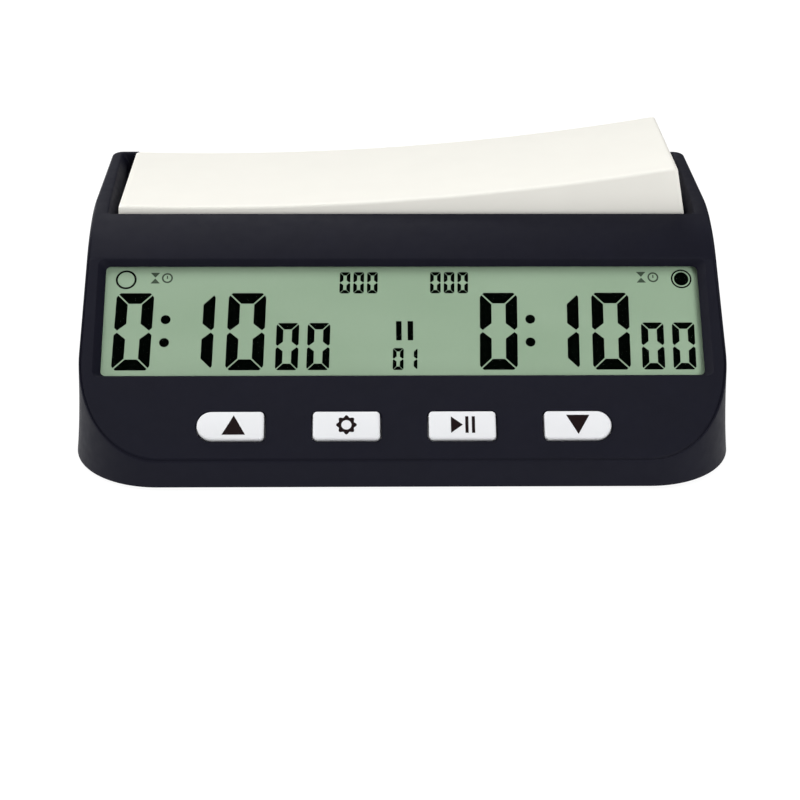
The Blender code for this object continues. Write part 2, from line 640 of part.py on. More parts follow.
def build_battery(case, materials):
    bay = make_empty("battery_axis", case, (0, BATTERY_Y, BATTERY_Z))
    nub_end = BAY_HALF_LENGTH - 0.9
    start = nub_end - BATTERY_LENGTH
    body_end = nub_end - 1.0
    profile = [(6.6, start), (BATTERY_RADIUS, start + 0.5), (BATTERY_RADIUS, body_end - 0.5),
               (6.8, body_end), (2.75, body_end), (2.75, nub_end)]
    solid("battery_cell", [along_x(turned(0, 0, profile, 24))], materials["cell"], bay)
    contact = rounded_rectangle(-5, 5, -5, 5, 1.0)
    solid("battery_contact", [along_x(prism(contact, nub_end + GAP, BAY_HALF_LENGTH - GAP))],
          materials["steel"], bay)
    coil = []
    wall_end = -BAY_HALF_LENGTH + 0.8
    cell_end = start - 0.8
    for step in range(SPRING_TURNS * 12 + 1):
        share = step / (SPRING_TURNS * 12)
        angle = 2 * math.pi * SPRING_TURNS * share
        radius = 5.4 - 2.2 * share
        along = wall_end + (cell_end - wall_end) * share
        coil.append((along, radius * math.cos(angle), radius * math.sin(angle)))
    wire("battery_spring", coil, 0.4, materials["steel"], bay)

    board_end = [(-46, 24.4, 9.2), (-52, 24.4, 9.2)]
    for name, (x, y, z), height, side in (("lead_red", board_end[0], 12.0, -33.0),
                                          ("lead_black", board_end[1], 6.0, -36.0)):
        knots = [(-31.4, 78.0, height), (side - 8, 78.0, height), (x - 4, 62.0, height - 1),
                 (x, 40.0, 5.0), (x, y + 1.5, z - 3.5), (x, y, z)]
        wire(name, smooth_path(knots, 16), 0.6, materials[name], case)


def build_clock():
    clear_scene()
    materials = {
        "case": make_material("case_plastic", (0.013, 0.014, 0.022), 0.45),
        "ivory": make_material("ivory_plastic", (0.89, 0.87, 0.80), 0.35),
        "button": make_material("button_plastic", (0.83, 0.84, 0.86), 0.3),
        "clear": make_material("clear_plastic", (0.90, 0.95, 0.90), 0.05),
        "display": make_material("display_glass", (0.31, 0.40, 0.30), 0.2),
        "foil": make_material("reflector_foil", (0.62, 0.66, 0.60), 0.3, 0.8),
        "black": make_material("black_plastic", (0.01, 0.01, 0.011), 0.5),
        "zebra": make_material("zebra_rubber", (0.5, 0.25, 0.3), 0.7),
        "board": make_material("circuit_board", (0.02, 0.16, 0.05), 0.4),
        "silicone": make_material("silicone", (0.35, 0.36, 0.38), 0.7),
        "rubber": make_material("rubber", (0.02, 0.02, 0.02), 0.8),
        "steel": make_material("steel", (0.6, 0.6, 0.6), 0.3, 1.0),
        "capacitor": make_material("capacitor_sleeve", (0.02, 0.03, 0.12), 0.4),
        "cell": make_material("cell_sleeve", (0.05, 0.12, 0.32), 0.3),
        "ribbon": make_material("ribbon_plastic", (0.45, 0.45, 0.47), 0.5),
        "lead_red": make_material("lead_red", (0.5, 0.02, 0.02), 0.5),
        "lead_black": make_material("lead_black", (0.015, 0.015, 0.015), 0.5),
    }
    case = make_empty("case_frame", None, (0, -CASE_DEPTH / 2, FOOT_HEIGHT))
    face = make_empty("face_frame", case, (0, 0, LIP_HEIGHT), (FACE_ANGLE, 0, 0))
    axis = make_empty("rocker_frame", case, (0, 0, PIVOT_HEIGHT), (0, -ROCKER_HALF_ANGLE, 0))
    build_upper_case(case, face, materials["case"])
    build_lower_case(case, materials["case"])
    build_window_and_display(face, materials)
    build_main_board(face, materials)
    build_keys(face, materials)
    build_rocker(case, axis, materials)
    build_turn_switch(case, materials)
    build_underside(case, materials)
    build_battery(case, materials)


build_clock()
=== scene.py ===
"""Looks of the digital chess clock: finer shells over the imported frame, the display's markings,
the symbols on the keys, procedural materials, light and camera.

Sizes are in millimetres, in the CAD's three frames. Case frame: X to the right, Y backwards from the
foot of the front lip, Z up from the case's underside. Face frame: Y up the sloped face from the lip's
top edge, Z out of the face. Rocker frame: its origin is the hinge, and the bar is level in it.
"""

import json
import math

import bmesh
import bpy
from mathutils import Matrix, Vector


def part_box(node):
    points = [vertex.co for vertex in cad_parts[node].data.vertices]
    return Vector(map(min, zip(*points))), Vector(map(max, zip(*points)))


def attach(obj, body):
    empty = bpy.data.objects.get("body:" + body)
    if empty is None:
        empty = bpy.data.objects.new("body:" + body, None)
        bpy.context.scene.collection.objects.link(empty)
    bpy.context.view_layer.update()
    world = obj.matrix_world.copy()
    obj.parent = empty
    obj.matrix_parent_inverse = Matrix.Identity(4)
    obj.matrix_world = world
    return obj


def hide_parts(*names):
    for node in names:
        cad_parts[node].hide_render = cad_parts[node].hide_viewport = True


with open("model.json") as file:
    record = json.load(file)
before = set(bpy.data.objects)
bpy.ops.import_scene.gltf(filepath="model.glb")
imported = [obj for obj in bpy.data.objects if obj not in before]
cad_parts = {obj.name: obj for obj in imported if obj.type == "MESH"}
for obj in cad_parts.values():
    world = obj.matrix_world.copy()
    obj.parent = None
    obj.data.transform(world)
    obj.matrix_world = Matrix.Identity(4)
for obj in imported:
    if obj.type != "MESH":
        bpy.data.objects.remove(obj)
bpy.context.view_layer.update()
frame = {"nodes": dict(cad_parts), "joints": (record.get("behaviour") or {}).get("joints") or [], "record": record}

MM = 0.001
SMOOTH_ANGLE = math.radians(32)

# Sizes taken from the frame
case_low, case_high = (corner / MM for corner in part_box("upper_case"))
CASE_DEPTH = case_high.y - case_low.y
BASE_HALF_WIDTH = case_high.x
FOOT_HEIGHT = case_low.z
TOP_HEIGHT = case_high.z - case_low.z
rocker_joint = next(joint for joint in frame["joints"] if joint["name"] == "rocker_tilt")
PIVOT_HEIGHT = rocker_joint["pos_m"][2] / MM - FOOT_HEIGHT
ROCKER_HALF_ANGLE = math.radians(rocker_joint["range_deg"][1] / 2)

# Case
FLARE = 2.8
FLARE_HEIGHT = 20.0
FRONT_CORNER_RADIUS = 21.5
REAR_CORNER_RADIUS = 3.0
LIP_HEIGHT = 6.8
FACE_ANGLE = math.radians(40.5)
CREST_RADIUS = 33.0
WALL = 2.0
FACE_FILLET = 0.2
TOP_FILLET = 0.7
CREASE_WIDTH = 0.55
CREASE_DEPTH = 0.35
TROUGH_HALF_WIDTH = 71.8
TROUGH_SPREAD = 1.4
TROUGH_BEVEL = 1.3
TROUGH_BEVEL_DEPTH = 2.5
TROUGH_FRONT = 53.3
TROUGH_REAR = 94.9
TROUGH_FLOOR = 34.0
TROUGH_WALL = 1.3
REAR_NOTCH_HALF_WIDTH = 70.0
REAR_NOTCH_DEPTH = 1.2
TONGUE_SLOT = (-8, 8, 62.9, 74.6, 30, 35)
RIM = 0.35

# Window, in the face frame
WINDOW_HALF_WIDTH = 72.45
WINDOW_LOW = 22.7
WINDOW_HIGH = 51.7
WINDOW_BEVEL_SIDE = 1.65
WINDOW_BEVEL_LOW = 1.0
WINDOW_BEVEL_HIGH = 1.05
WINDOW_CORNER = 1.2

# Keys, in the face frame
KEY_NAMES = ("up", "settings", "play_pause", "down")
KEY_HALF_LENGTH = 7.9
KEY_HALF_HEIGHT = 3.5
KEY_CENTRE = 8.9
KEY_SPACING = 27.28
KEY_PROUD = 0.9
KEY_CORNER = 1.0
KEY_GAP = 0.3
KEY_ROUNDING = 0.55
PRINT = 0.03

# Rocker bar
ROCKER_HALF_LENGTH = 69.7
ROCKER_FRONT = 53.9
ROCKER_REAR = 94.2
ROCKER_TOP_ABOVE_PIVOT = 12.17
ROCKER_SKIRT = 13.5
ROCKER_BEND_RADIUS = 696.0
ROCKER_END_DRAFT = math.radians(2.0)
ROCKER_WALL = 1.8
ROCKER_EDGE = 0.8
ROCKER_CORNER = 0.9
HUB = (-5.0, 5.0, 59.9, 88.2, -3.2, 20.0)
RIBS = (-62, -28, 28, 62)

# Display, in the face frame: the markings lie on the glass
GLASS_TOP = -3.6
MARKING = 0.02
CLOCK_GROUPS = (-70.25, 18.45)
BIG_DIGIT = {"width": 9.15, "height": 20.5, "stroke": 2.85, "gap": 0.34}
BIG_DIGIT_STARTS = (0.0, 15.0, 27.35)
SECONDS_DIGIT = {"width": 5.5, "height": 12.45, "stroke": 1.7, "gap": 0.24}
SECONDS_STARTS = (39.3, 46.85)
SMALL_DIGIT = {"width": 2.6, "height": 5.75, "stroke": 0.9, "gap": 0.10}
DIGITS_LOW = 24.8
COUNTER_LOW = 45.2
COUNTER_STARTS = (-15.95, 6.25)
COUNTER_PITCH = 3.36
COLON_X = 12.3
COLON_HEIGHTS = (32.1, 38.2)
MODE_STARTS = (-2.6, 0.75)
PAUSE_BARS = (-1.69, 1.12)
SIDE_SIGNS = ((-67.7, 48.95), (68.7, 49.05))
TIMER_SIGNS = ((-60.6, 49.4), (58.8, 49.5))
SLANT = math.tan(math.radians(1.3))

# Battery door
DOOR_FRONT = 73.8
DOOR_THICKNESS = 1.7
DOOR_LIP_HEIGHT = 6.0

# Camera, in the case frame
CAMERA = (-8.92, -366.75, 213.02)
CAMERA_HEADING = math.radians(1.203)
CAMERA_PITCH = math.radians(27.383)
CAMERA_ROLL = math.radians(0.422)
CAMERA_LENS = 81.0

# Lights, in metres and watts: where each softbox stands, its size and its power
SOFTBOXES = {
    "behind": ((-0.25, 0.60, 0.90), 0.8, 0.5, 4.3),
    "left": ((-0.95, -0.10, 0.55), 0.5, 0.6, 4.0),
    "front_right": ((0.60, -1.00, 0.55), 0.6, 0.5, 5.8),
    "overhead": ((0.00, -0.15, 1.20), 0.9, 0.6, 3.5),
    "right": ((0.95, 0.10, 0.50), 0.5, 0.6, 0.6),
    "behind_left": ((-0.75, 0.65, 0.40), 0.5, 0.4, 4.3),
}
ROOM_LIGHT = 0.2
FLOOR_GLOW = 0.93

FACE_RUN = (TOP_HEIGHT - LIP_HEIGHT) / math.tan(FACE_ANGLE)
CREST_Y = FACE_RUN + CREST_RADIUS * math.tan(FACE_ANGLE / 2)
CREST_Z = TOP_HEIGHT - CREST_RADIUS

CASE = Matrix.Translation((0, -CASE_DEPTH / 2 * MM, FOOT_HEIGHT * MM)) @ Matrix.Scale(MM, 4)
FACE = CASE @ Matrix.Translation((0, 0, LIP_HEIGHT)) @ Matrix.Rotation(FACE_ANGLE, 4, "X")
ROCKER = CASE @ Matrix.Translation((0, 0, PIVOT_HEIGHT)) @ Matrix.Rotation(-ROCKER_HALF_ANGLE, 4, "Y")


# ---------------------------------------------------------------- outlines

def arc(centre_x, centre_y, radius, start, end, steps):
    points = []
    for index in range(steps + 1):
        angle = math.radians(start + (end - start) * index / steps)
        points.append((centre_x + radius * math.cos(angle), centre_y + radius * math.sin(angle)))
    return points


def circle(centre_x, centre_y, radius, steps=48):
    return arc(centre_x, centre_y, radius, 0, 360, steps)[:-1]


def rounded_rectangle(left, right, low, high, radius, steps=6, left_radius=None):
    """left_radius is for an outline whose left corners differ from its right ones."""
    other = radius if left_radius is None else left_radius
    points = arc(right - radius, high - radius, radius, 0, 90, steps)
    points += arc(left + other, high - other, other, 90, 180, steps)
    points += arc(left + other, low + other, other, 180, 270, steps)
    points += arc(right - radius, low + radius, radius, 270, 360, steps)
    return points


def subdivided(outline, longest):
    """The outline with its long edges split."""
    points = []
    for (x, y), (next_x, next_y) in zip(outline, outline[1:] + outline[:1]):
        parts = max(1, math.ceil(math.hypot(next_x - x, next_y - y) / longest))
        for part in range(parts):
            share = part / parts
            points.append((x + (next_x - x) * share, y + (next_y - y) * share))
    return points


# ---------------------------------------------------------------- shells: lists of sections

def prism(outline, *heights):
    return [[(x, y, height) for x, y in outline] for height in heights]


def box(left, right, front, rear, low, high):
    return prism([(left, front), (right, front), (right, rear), (left, rear)], low, high)


def turned(x, y, profile, steps=48):
    """A shape turned about an upright axis, from (radius, height) pairs."""
    return [[(px, py, height) for px, py in circle(x, y, radius, steps)] for radius, height in profile]


def band(outer, inner, low, high):
    """A closed band between two outlines with as many points each."""
    return [[(x, y, low) for x, y in outer], [(x, y, high) for x, y in outer],
            [(x, y, high) for x, y in inner], [(x, y, low) for x, y in inner],
            [(x, y, low) for x, y in outer]]


def along_x(sections):
    """Turns sections that stack along Z into sections that stack along X."""
    return [[(height, x, y) for x, y, height in section] for section in sections]


def along_y(sections):
    return [[(x, height, y) for x, y, height in section] for section in sections]


# ---------------------------------------------------------------- objects

def close_rings(mesh_data, rings, striped):
    """Closes the two ends of a shell, the upper one with strips if its ring mirrors end to end."""
    mesh_data.faces.new(rings[0])
    if not striped:
        mesh_data.faces.new(rings[-1])
        return
    ring = rings[-1]
    last = len(ring) - 1
    for index in range(len(ring) // 2 - 1):
        mesh_data.faces.new((ring[index], ring[index + 1], ring[last - index - 1], ring[last - index]))


def solid(name, shells, place, material=None, striped=False):
    """One mesh object made of closed shells, with its place in its mesh."""
    mesh_data = bmesh.new()
    for sections in shells:
        rings = [[mesh_data.verts.new(place @ Vector(point)) for point in section] for section in sections]
        for lower, upper in zip(rings, rings[1:]):
            for index in range(len(lower)):
                following = (index + 1) % len(lower)
                mesh_data.faces.new((lower[index], lower[following], upper[following], upper[index]))
        if sections[0] != sections[-1]:
            close_rings(mesh_data, rings, striped)
    bmesh.ops.remove_doubles(mesh_data, verts=mesh_data.verts, dist=1e-8)
    bmesh.ops.recalc_face_normals(mesh_data, faces=mesh_data.faces)
    mesh = bpy.data.meshes.new(name)
    mesh_data.to_mesh(mesh)
    mesh_data.free()
    item = bpy.data.objects.new(name, mesh)
    if material:
        mesh.materials.append(material)
    bpy.context.scene.collection.objects.link(item)
    return item


def combine(target, other, operation):
    """Applies a Boolean operation with another object, which is then removed."""
    modifier = target.modifiers.new(operation.lower(), "BOOLEAN")
    modifier.operation = operation
    modifier.object = other
    modifier.solver = "EXACT"
    depsgraph = bpy.context.evaluated_depsgraph_get()
    result = bpy.data.meshes.new_from_object(target.evaluated_get(depsgraph))
    target.modifiers.clear()
    target.data = result
    bpy.data.objects.remove(other)


def cut(target, shells, place):
    combine(target, solid("cutter", shells, place), "DIFFERENCE")


def smooth(item):
    item.data.shade_smooth()
    item.data.set_sharp_from_angle(angle=SMOOTH_ANGLE)


def finish_piece(item, body, slot, *nodes):
    """Shades a piece, ties it to its body and hides the CAD nodes that it stands for."""
    smooth(item)
    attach(item, body)
    if nodes:
        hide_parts(*nodes)


# ---------------------------------------------------------------- materials

class Nodes:
    """A material's node tree, with short calls for the nodes that the materials share."""

    def __init__(self, name):
        self.material = bpy.data.materials.new(name)
        self.material.use_nodes = True
        self.tree = self.material.node_tree
        self.shader = self.tree.nodes["Principled BSDF"]
        self.place = self.tree.nodes.new("ShaderNodeTexCoord").outputs["Object"]

    def set(self, **values):
        for name, value in values.items():
            self.shader.inputs[name.replace("_", " ")].default_value = value

    def link(self, output, name):
        self.tree.links.new(output, self.shader.inputs[name])

    def noise(self, size, detail=3.0, stretch=(1, 1, 1)):
        """Noise with blotches of about the given size in millimetres."""
        mapping = self.tree.nodes.new("ShaderNodeMapping")
        mapping.inputs["Scale"].default_value = stretch
        texture = self.tree.nodes.new("ShaderNodeTexNoise")
        texture.inputs["Scale"].default_value = 1 / (size * MM)
        texture.inputs["Detail"].default_value = detail
        self.tree.links.new(self.place, mapping.inputs["Vector"])
        self.tree.links.new(mapping.outputs["Vector"], texture.inputs["Vector"])
        return texture.outputs["Fac"]

    def ramp(self, source, low, high, first, last):
        """Colours that run from first to last while the source runs from low to high."""
        ramp = self.tree.nodes.new("ShaderNodeValToRGB")
        start, end = ramp.color_ramp.elements
        start.position, end.position = low, high
        start.color, end.color = (*first, 1.0), (*last, 1.0)
        self.tree.links.new(source, ramp.inputs["Fac"])
        return ramp.outputs["Color"]

    def spread(self, source, low, high):
        """The source's middle stretch mapped to values from low to high."""
        node = self.tree.nodes.new("ShaderNodeMapRange")
        node.inputs["From Min"].default_value = 0.3
        node.inputs["From Max"].default_value = 0.7
        node.inputs["To Min"].default_value = low
        node.inputs["To Max"].default_value = high
        self.tree.links.new(source, node.inputs["Value"])
        return node.outputs["Result"]

    def bump(self, source, depth):
        node = self.tree.nodes.new("ShaderNodeBump")
        node.inputs["Distance"].default_value = depth * MM
        node.inputs["Strength"].default_value = 1.0
        self.tree.links.new(source, node.inputs["Height"])
        self.link(node.outputs["Normal"], "Normal")


def shade(colour, factor):
    return tuple(min(1.0, part * factor) for part in colour)


def moulded_plastic(name, colour, roughness, grain, depth, specular=0.5, variation=0.06):
    """Plastic with slight unevenness in colour; a grain depth above zero roughens its surface too."""
    nodes = Nodes(name)
    blotches = nodes.noise(9.0, 2.0)
    nodes.link(nodes.ramp(blotches, 0.3, 0.7, shade(colour, 1 - variation), shade(colour, 1 + variation)),
               "Base Color")
    nodes.set(Specular_IOR_Level=specular, Roughness=roughness)
    if depth:
        nodes.link(nodes.spread(nodes.noise(2.5), roughness - 0.04, roughness + 0.04), "Roughness")
        nodes.bump(nodes.noise(grain, 2.0), depth)
    return nodes.material


def plated_steel(name, colour, roughness):
    """Metal with fine drawn lines."""
    nodes = Nodes(name)
    lines = nodes.noise(0.5, 4.0, (1, 12, 12))
    nodes.link(nodes.ramp(lines, 0.3, 0.7, shade(colour, 0.85), shade(colour, 1.1)), "Base Color")
    nodes.link(nodes.spread(lines, roughness - 0.06, roughness + 0.08), "Roughness")
    nodes.set(Metallic=1.0)
    nodes.bump(lines, 0.01)
    return nodes.material


def clear_window():
    """Clear plastic that lets light straight through and keeps a faint gloss."""
    nodes = Nodes("clear_window")
    clear = nodes.tree.nodes.new("ShaderNodeBsdfTransparent")
    clear.inputs["Color"].default_value = (0.985, 0.99, 0.985, 1.0)
    gloss = nodes.tree.nodes.new("ShaderNodeFresnel")
    gloss.inputs["IOR"].default_value = 1.16
    blend = nodes.tree.nodes.new("ShaderNodeMixShader")
    nodes.set(Base_Color=(0.02, 0.02, 0.02, 1.0), Roughness=0.07)
    output = nodes.tree.nodes["Material Output"]
    nodes.tree.links.new(gloss.outputs["Fac"], blend.inputs["Fac"])
    nodes.tree.links.new(clear.outputs["BSDF"], blend.inputs[1])
    nodes.tree.links.new(nodes.shader.outputs["BSDF"], blend.inputs[2])
    nodes.tree.links.new(blend.outputs["Shader"], output.inputs["Surface"])
    return nodes.material


def display_ground():
    """Grey-green liquid crystal panel: the polariser's sheen over a finely speckled reflector."""
    nodes = Nodes("display_ground")
    speckle = nodes.noise(0.25, 2.0)
    haze = nodes.noise(40.0, 1.0, (1, 3, 3))
    tint = nodes.ramp(haze, 0.35, 0.65, (0.475, 0.650, 0.460), (0.505, 0.680, 0.490))
    grain = nodes.ramp(speckle, 0.2, 0.8, (0.96, 0.96, 0.96), (1.0, 1.0, 1.0))
    mix = nodes.tree.nodes.new("ShaderNodeMix")
    mix.data_type = "RGBA"
    mix.blend_type = "MULTIPLY"
    mix.inputs["Factor"].default_value = 1.0
    nodes.tree.links.new(tint, mix.inputs["A"])
    nodes.tree.links.new(grain, mix.inputs["B"])
    nodes.link(mix.outputs["Result"], "Base Color")
    nodes.set(Roughness=0.55, Specular_IOR_Level=0.2)
    return nodes.material


def circuit_board():
    """Green solder mask over fine copper tracks."""
    nodes = Nodes("circuit_board")
    tracks = nodes.tree.nodes.new("ShaderNodeTexBrick")
    tracks.inputs["Scale"].default_value = 220.0
    tracks.inputs["Mortar Size"].default_value = 0.03
    tracks.inputs["Color1"].default_value = (0.015, 0.13, 0.045, 1.0)
    tracks.inputs["Color2"].default_value = (0.02, 0.16, 0.05, 1.0)
    tracks.inputs["Mortar"].default_value = (0.06, 0.27, 0.09, 1.0)
    nodes.tree.links.new(nodes.place, tracks.inputs["Vector"])
    nodes.link(tracks.outputs["Color"], "Base Color")
    nodes.link(nodes.spread(nodes.noise(3.0), 0.28, 0.4), "Roughness")
    nodes.bump(tracks.outputs["Fac"], 0.03)
    return nodes.material


def make_materials():
    """One procedural material for each of the record's material slots."""
    return {
        "case_plastic": moulded_plastic("case_plastic", (0.0050, 0.0052, 0.0126), 0.58, 0.16, 0.008, 0.14),
        "ivory_plastic": moulded_plastic("ivory_plastic", (0.90, 0.885, 0.82), 0.30, 0.8, 0.0, 0.4, 0.008),
        "button_plastic": moulded_plastic("button_plastic", (0.84, 0.85, 0.87), 0.28, 0.6, 0.0, 0.4, 0.008),
        "clear_plastic": clear_window(),
        "display_glass": display_ground(),
        "reflector_foil": plated_steel("reflector_foil", (0.62, 0.66, 0.60), 0.35),
        "black_plastic": moulded_plastic("black_plastic", (0.010, 0.010, 0.011), 0.5, 0.3, 0.01),
        "zebra_rubber": moulded_plastic("zebra_rubber", (0.5, 0.25, 0.3), 0.7, 0.2, 0.02),
        "circuit_board": circuit_board(),
        "silicone": moulded_plastic("silicone", (0.35, 0.36, 0.38), 0.65, 0.3, 0.01),
        "black_rubber": moulded_plastic("black_rubber", (0.018, 0.018, 0.019), 0.75, 0.25, 0.03, 0.3, 0.15),
        "steel": plated_steel("steel", (0.60, 0.60, 0.61), 0.28),
        "capacitor_sleeve": moulded_plastic("capacitor_sleeve", (0.02, 0.03, 0.12), 0.35, 0.5, 0.004),
        "cell_sleeve": moulded_plastic("cell_sleeve", (0.05, 0.12, 0.32), 0.25, 0.6, 0.003),
        "ribbon_plastic": moulded_plastic("ribbon_plastic", (0.45, 0.45, 0.47), 0.45, 0.4, 0.01),
        "lead_red": moulded_plastic("lead_red", (0.5, 0.02, 0.02), 0.45, 0.3, 0.006),
        "lead_black": moulded_plastic("lead_black", (0.015, 0.015, 0.015), 0.45, 0.3, 0.006),
    }


def dress_cad_nodes(materials):
    """Gives every CAD node the finished material of its slot."""
    for part in frame["record"]["subparts"]:
        node = frame["nodes"][part["node"]]
        node.data.materials.clear()
        node.data.materials.append(materials[part["material_slot"]])


# ---------------------------------------------------------------- case

def half_width(height):
    """Half the case's width: the side walls flare out towards the base."""
    top = BASE_HALF_WIDTH - FLARE
    return top + FLARE * math.exp(-height / FLARE_HEIGHT)


def case_height(y, below=0.0):
    """Height of the case's top surface at y, or of the surface that lies below it by that much."""
    crest = CREST_RADIUS - below
    if y >= CREST_Y:
        return TOP_HEIGHT - below
    if y <= CREST_Y - crest * math.sin(FACE_ANGLE):
        return LIP_HEIGHT + y * math.tan(FACE_ANGLE) - below / math.cos(FACE_ANGLE)
    return CREST_Z + math.sqrt(crest ** 2 - (CREST_Y - y) ** 2)


def case_side(inset, below):
    """Right half of the footprint, from the start of the front corner to the rear edge."""
    corner_x = BASE_HALF_WIDTH - FRONT_CORNER_RADIUS
    points = arc(corner_x, FRONT_CORNER_RADIUS, FRONT_CORNER_RADIUS - inset, -90, 0, 28)
    for step in range(25):
        angle = FACE_ANGLE * (1 - step / 24)
        points.append((BASE_HALF_WIDTH - inset, CREST_Y - (CREST_RADIUS - below) * math.sin(angle)))
    rear_x = BASE_HALF_WIDTH - REAR_CORNER_RADIUS
    points += arc(rear_x, CASE_DEPTH - REAR_CORNER_RADIUS, REAR_CORNER_RADIUS - inset, 0, 90, 8)
    return points


def case_ring(inset, below, drop, share=1.0):
    """A ring around the case, at a share of the height that lies a drop below its top surface."""
    right = []
    for x, y in case_side(inset, below):
        height = (case_height(y, below) - drop) * share
        right.append((x * half_width(height) / BASE_HALF_WIDTH, y, height))
    return right + [(-x, y, height) for x, y, height in reversed(right)]


def around_face(y):
    """1 around the flat face and 0 over the crest and behind it, with a gradual change between them."""
    return max(0.0, min(1.0, (CREST_Y - 12 - y) / 15))


def edge_ring(inset, below, fillets, step):
    """One ring of the rounded top edge: the first fillet is the face's and the second the crest's."""
    angle = math.radians(15 * step)
    face, top = (case_ring(inset + fillet * (1 - math.cos(angle)), below, fillet * (1 - math.sin(angle)))
                 for fillet in fillets)
    return [Vector(end).lerp(start, around_face(start[1])) for start, end in zip(face, top)]


def case_sections(inset, below, bottom, fillets):
    base = case_side(inset, below)
    sections = [[(x, y, bottom) for x, y in base] + [(-x, y, bottom) for x, y in reversed(base)]]
    wall_top = edge_ring(inset, below, fillets, 0)
    for share in (0.06, 0.13, 0.22, 0.34, 0.5, 0.7, 0.88):
        sections.append([(x * half_width(height * share) / half_width(height), y, height * share)
                         for x, y, height in wall_top])
    for step in range(7):
        sections.append(edge_ring(inset, below, fillets, step))
    return sections


def crease_sections():
    """A fine crease around the face, just inside its rounded edge, that fades out over the crest."""
    sections = []
    for across, depth in ((0.5, 1.0), (1.0, 0.0)):
        width = CREASE_WIDTH * across
        ring = edge_ring(width, 0.0, (FACE_FILLET, TOP_FILLET), 6)
        sections.append([(x, y, height - CREASE_DEPTH * depth * around_face(y)) for x, y, height in ring])
    return sections


def trough_ring(grow, side, height):
    """A ring around the trough, which widens to the rear: side moves its two sides outwards."""
    outline = rounded_rectangle(-TROUGH_HALF_WIDTH - grow, TROUGH_HALF_WIDTH + grow,
                                TROUGH_FRONT - grow, TROUGH_REAR + grow, 0.8 + grow)
    ring = []
    for x, y in subdivided(outline, 1.5):
        share = (y - TROUGH_FRONT) / (TROUGH_REAR - TROUGH_FRONT)
        wider = 1 + (side + TROUGH_SPREAD * share) / TROUGH_HALF_WIDTH
        ring.append((x * wider, y, height(y)))
    return ring


def trough_cutter():
    """The trough's opening: bevelled sides, and a rounded rim that follows the case's top surface."""
    sections = [trough_ring(0.0, 0.0, lambda y: TROUGH_FLOOR),
                trough_ring(0.0, 0.0, lambda y: TOP_HEIGHT - TROUGH_BEVEL_DEPTH)]
    for step in range(4):
        angle = math.radians(20 * step)
        grow = RIM * (1 - math.cos(angle))
        drop = RIM * (1 - math.sin(angle))
        side = TROUGH_BEVEL * (1 - drop / TROUGH_BEVEL_DEPTH)
        sections.append(trough_ring(grow, side, lambda y: case_height(y) - drop))
    sections.append(trough_ring(1.0, TROUGH_BEVEL, lambda y: case_height(y) + 0.4))
    sections.append(trough_ring(1.0, TROUGH_BEVEL, lambda y: 70.0))
    return sections


def rear_wall_cutter():
    """The notch behind the rocker: it lowers the rear wall there and rounds its top."""
    middle = (TROUGH_REAR + CASE_DEPTH) / 2
    half = (CASE_DEPTH - TROUGH_REAR) / 2 + 0.05
    low = TOP_HEIGHT - REAR_NOTCH_DEPTH - 0.6
    outline = [(TROUGH_REAR - 1, 60), (TROUGH_REAR - 1, low)]
    for step in range(0, 181, 15):
        angle = math.radians(step)
        outline.append((middle - half * math.cos(angle), low + 0.6 * math.sin(angle)))
    outline += [(CASE_DEPTH + 1, low), (CASE_DEPTH + 1, 60)]
    return along_x(prism(outline, -REAR_NOTCH_HALF_WIDTH, REAR_NOTCH_HALF_WIDTH))


def window_section(below, grow=0.0):
    """The window's opening at a depth below the face: its four sides are bevelled."""
    share = (WALL - below) / WALL
    side = WINDOW_HALF_WIDTH + WINDOW_BEVEL_SIDE * share + grow
    low = WINDOW_LOW - WINDOW_BEVEL_LOW * share - grow
    high = WINDOW_HIGH + WINDOW_BEVEL_HIGH * share + grow
    outline = rounded_rectangle(-side, side, low, high, WINDOW_CORNER + 0.4 * share + grow)
    return [(x, y, -below) for x, y in outline]


def key_outline(index, grow):
    """Outline of one of the four keys: the outer ends of the first and the last are round."""
    centre = (index - 1.5) * KEY_SPACING
    half_length = KEY_HALF_LENGTH + grow
    half_height = KEY_HALF_HEIGHT + grow
    corner = max(KEY_CORNER + grow, 0.25)
    left = half_height if index == 0 else corner
    right = half_height if index == 3 else corner
    return rounded_rectangle(centre - half_length, centre + half_length, KEY_CENTRE - half_height,
                             KEY_CENTRE + half_height, right, 12, left)


def build_upper_shell(materials):
    outer = case_sections(0.0, 0.0, 0.0, (FACE_FILLET, TOP_FILLET)) + crease_sections()
    shell = solid("upper_shell", [outer], CASE, materials["case_plastic"], striped=True)
    hollow = solid("hollow", [case_sections(WALL, WALL, -1.0, (0.3, 0.3))], CASE, striped=True)
    cut(hollow, [box(-90, 90, TROUGH_FRONT - TROUGH_WALL, 110, TROUGH_FLOOR - WALL, 70)], CASE)
    combine(shell, hollow, "DIFFERENCE")
    cut(shell, [trough_cutter()], CASE)
    cut(shell, [rear_wall_cutter()], CASE)
    cut(shell, [[window_section(3.5), window_section(0.2), window_section(-0.6, 0.5)]], FACE)
    for index in range(4):
        hole = [[(x, y, height) for x, y in key_outline(index, KEY_GAP + grow)]
                for grow, height in ((0.0, -WALL - 2), (0.0, -0.2), (1.0, 0.8))]
        cut(shell, [hole], FACE)
    door_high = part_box("battery_door")[1] / MM
    notch = door_high.x + 0.3
    notch_top = door_high.z - FOOT_HEIGHT + 0.3
    cut(shell, [box(-notch, notch, CASE_DEPTH - WALL - 1, CASE_DEPTH + 2, -1, notch_top),
                box(*TONGUE_SLOT)], CASE)
    finish_piece(shell, "case", "case_plastic", "upper_case")
    face_normal = (FACE.to_3x3() @ Vector((0, 0, 1))).normalized()
    for polygon in shell.data.polygons:
        if polygon.normal.dot(face_normal) > 0.99999:
            polygon.use_smooth = False


# ---------------------------------------------------------------- keys

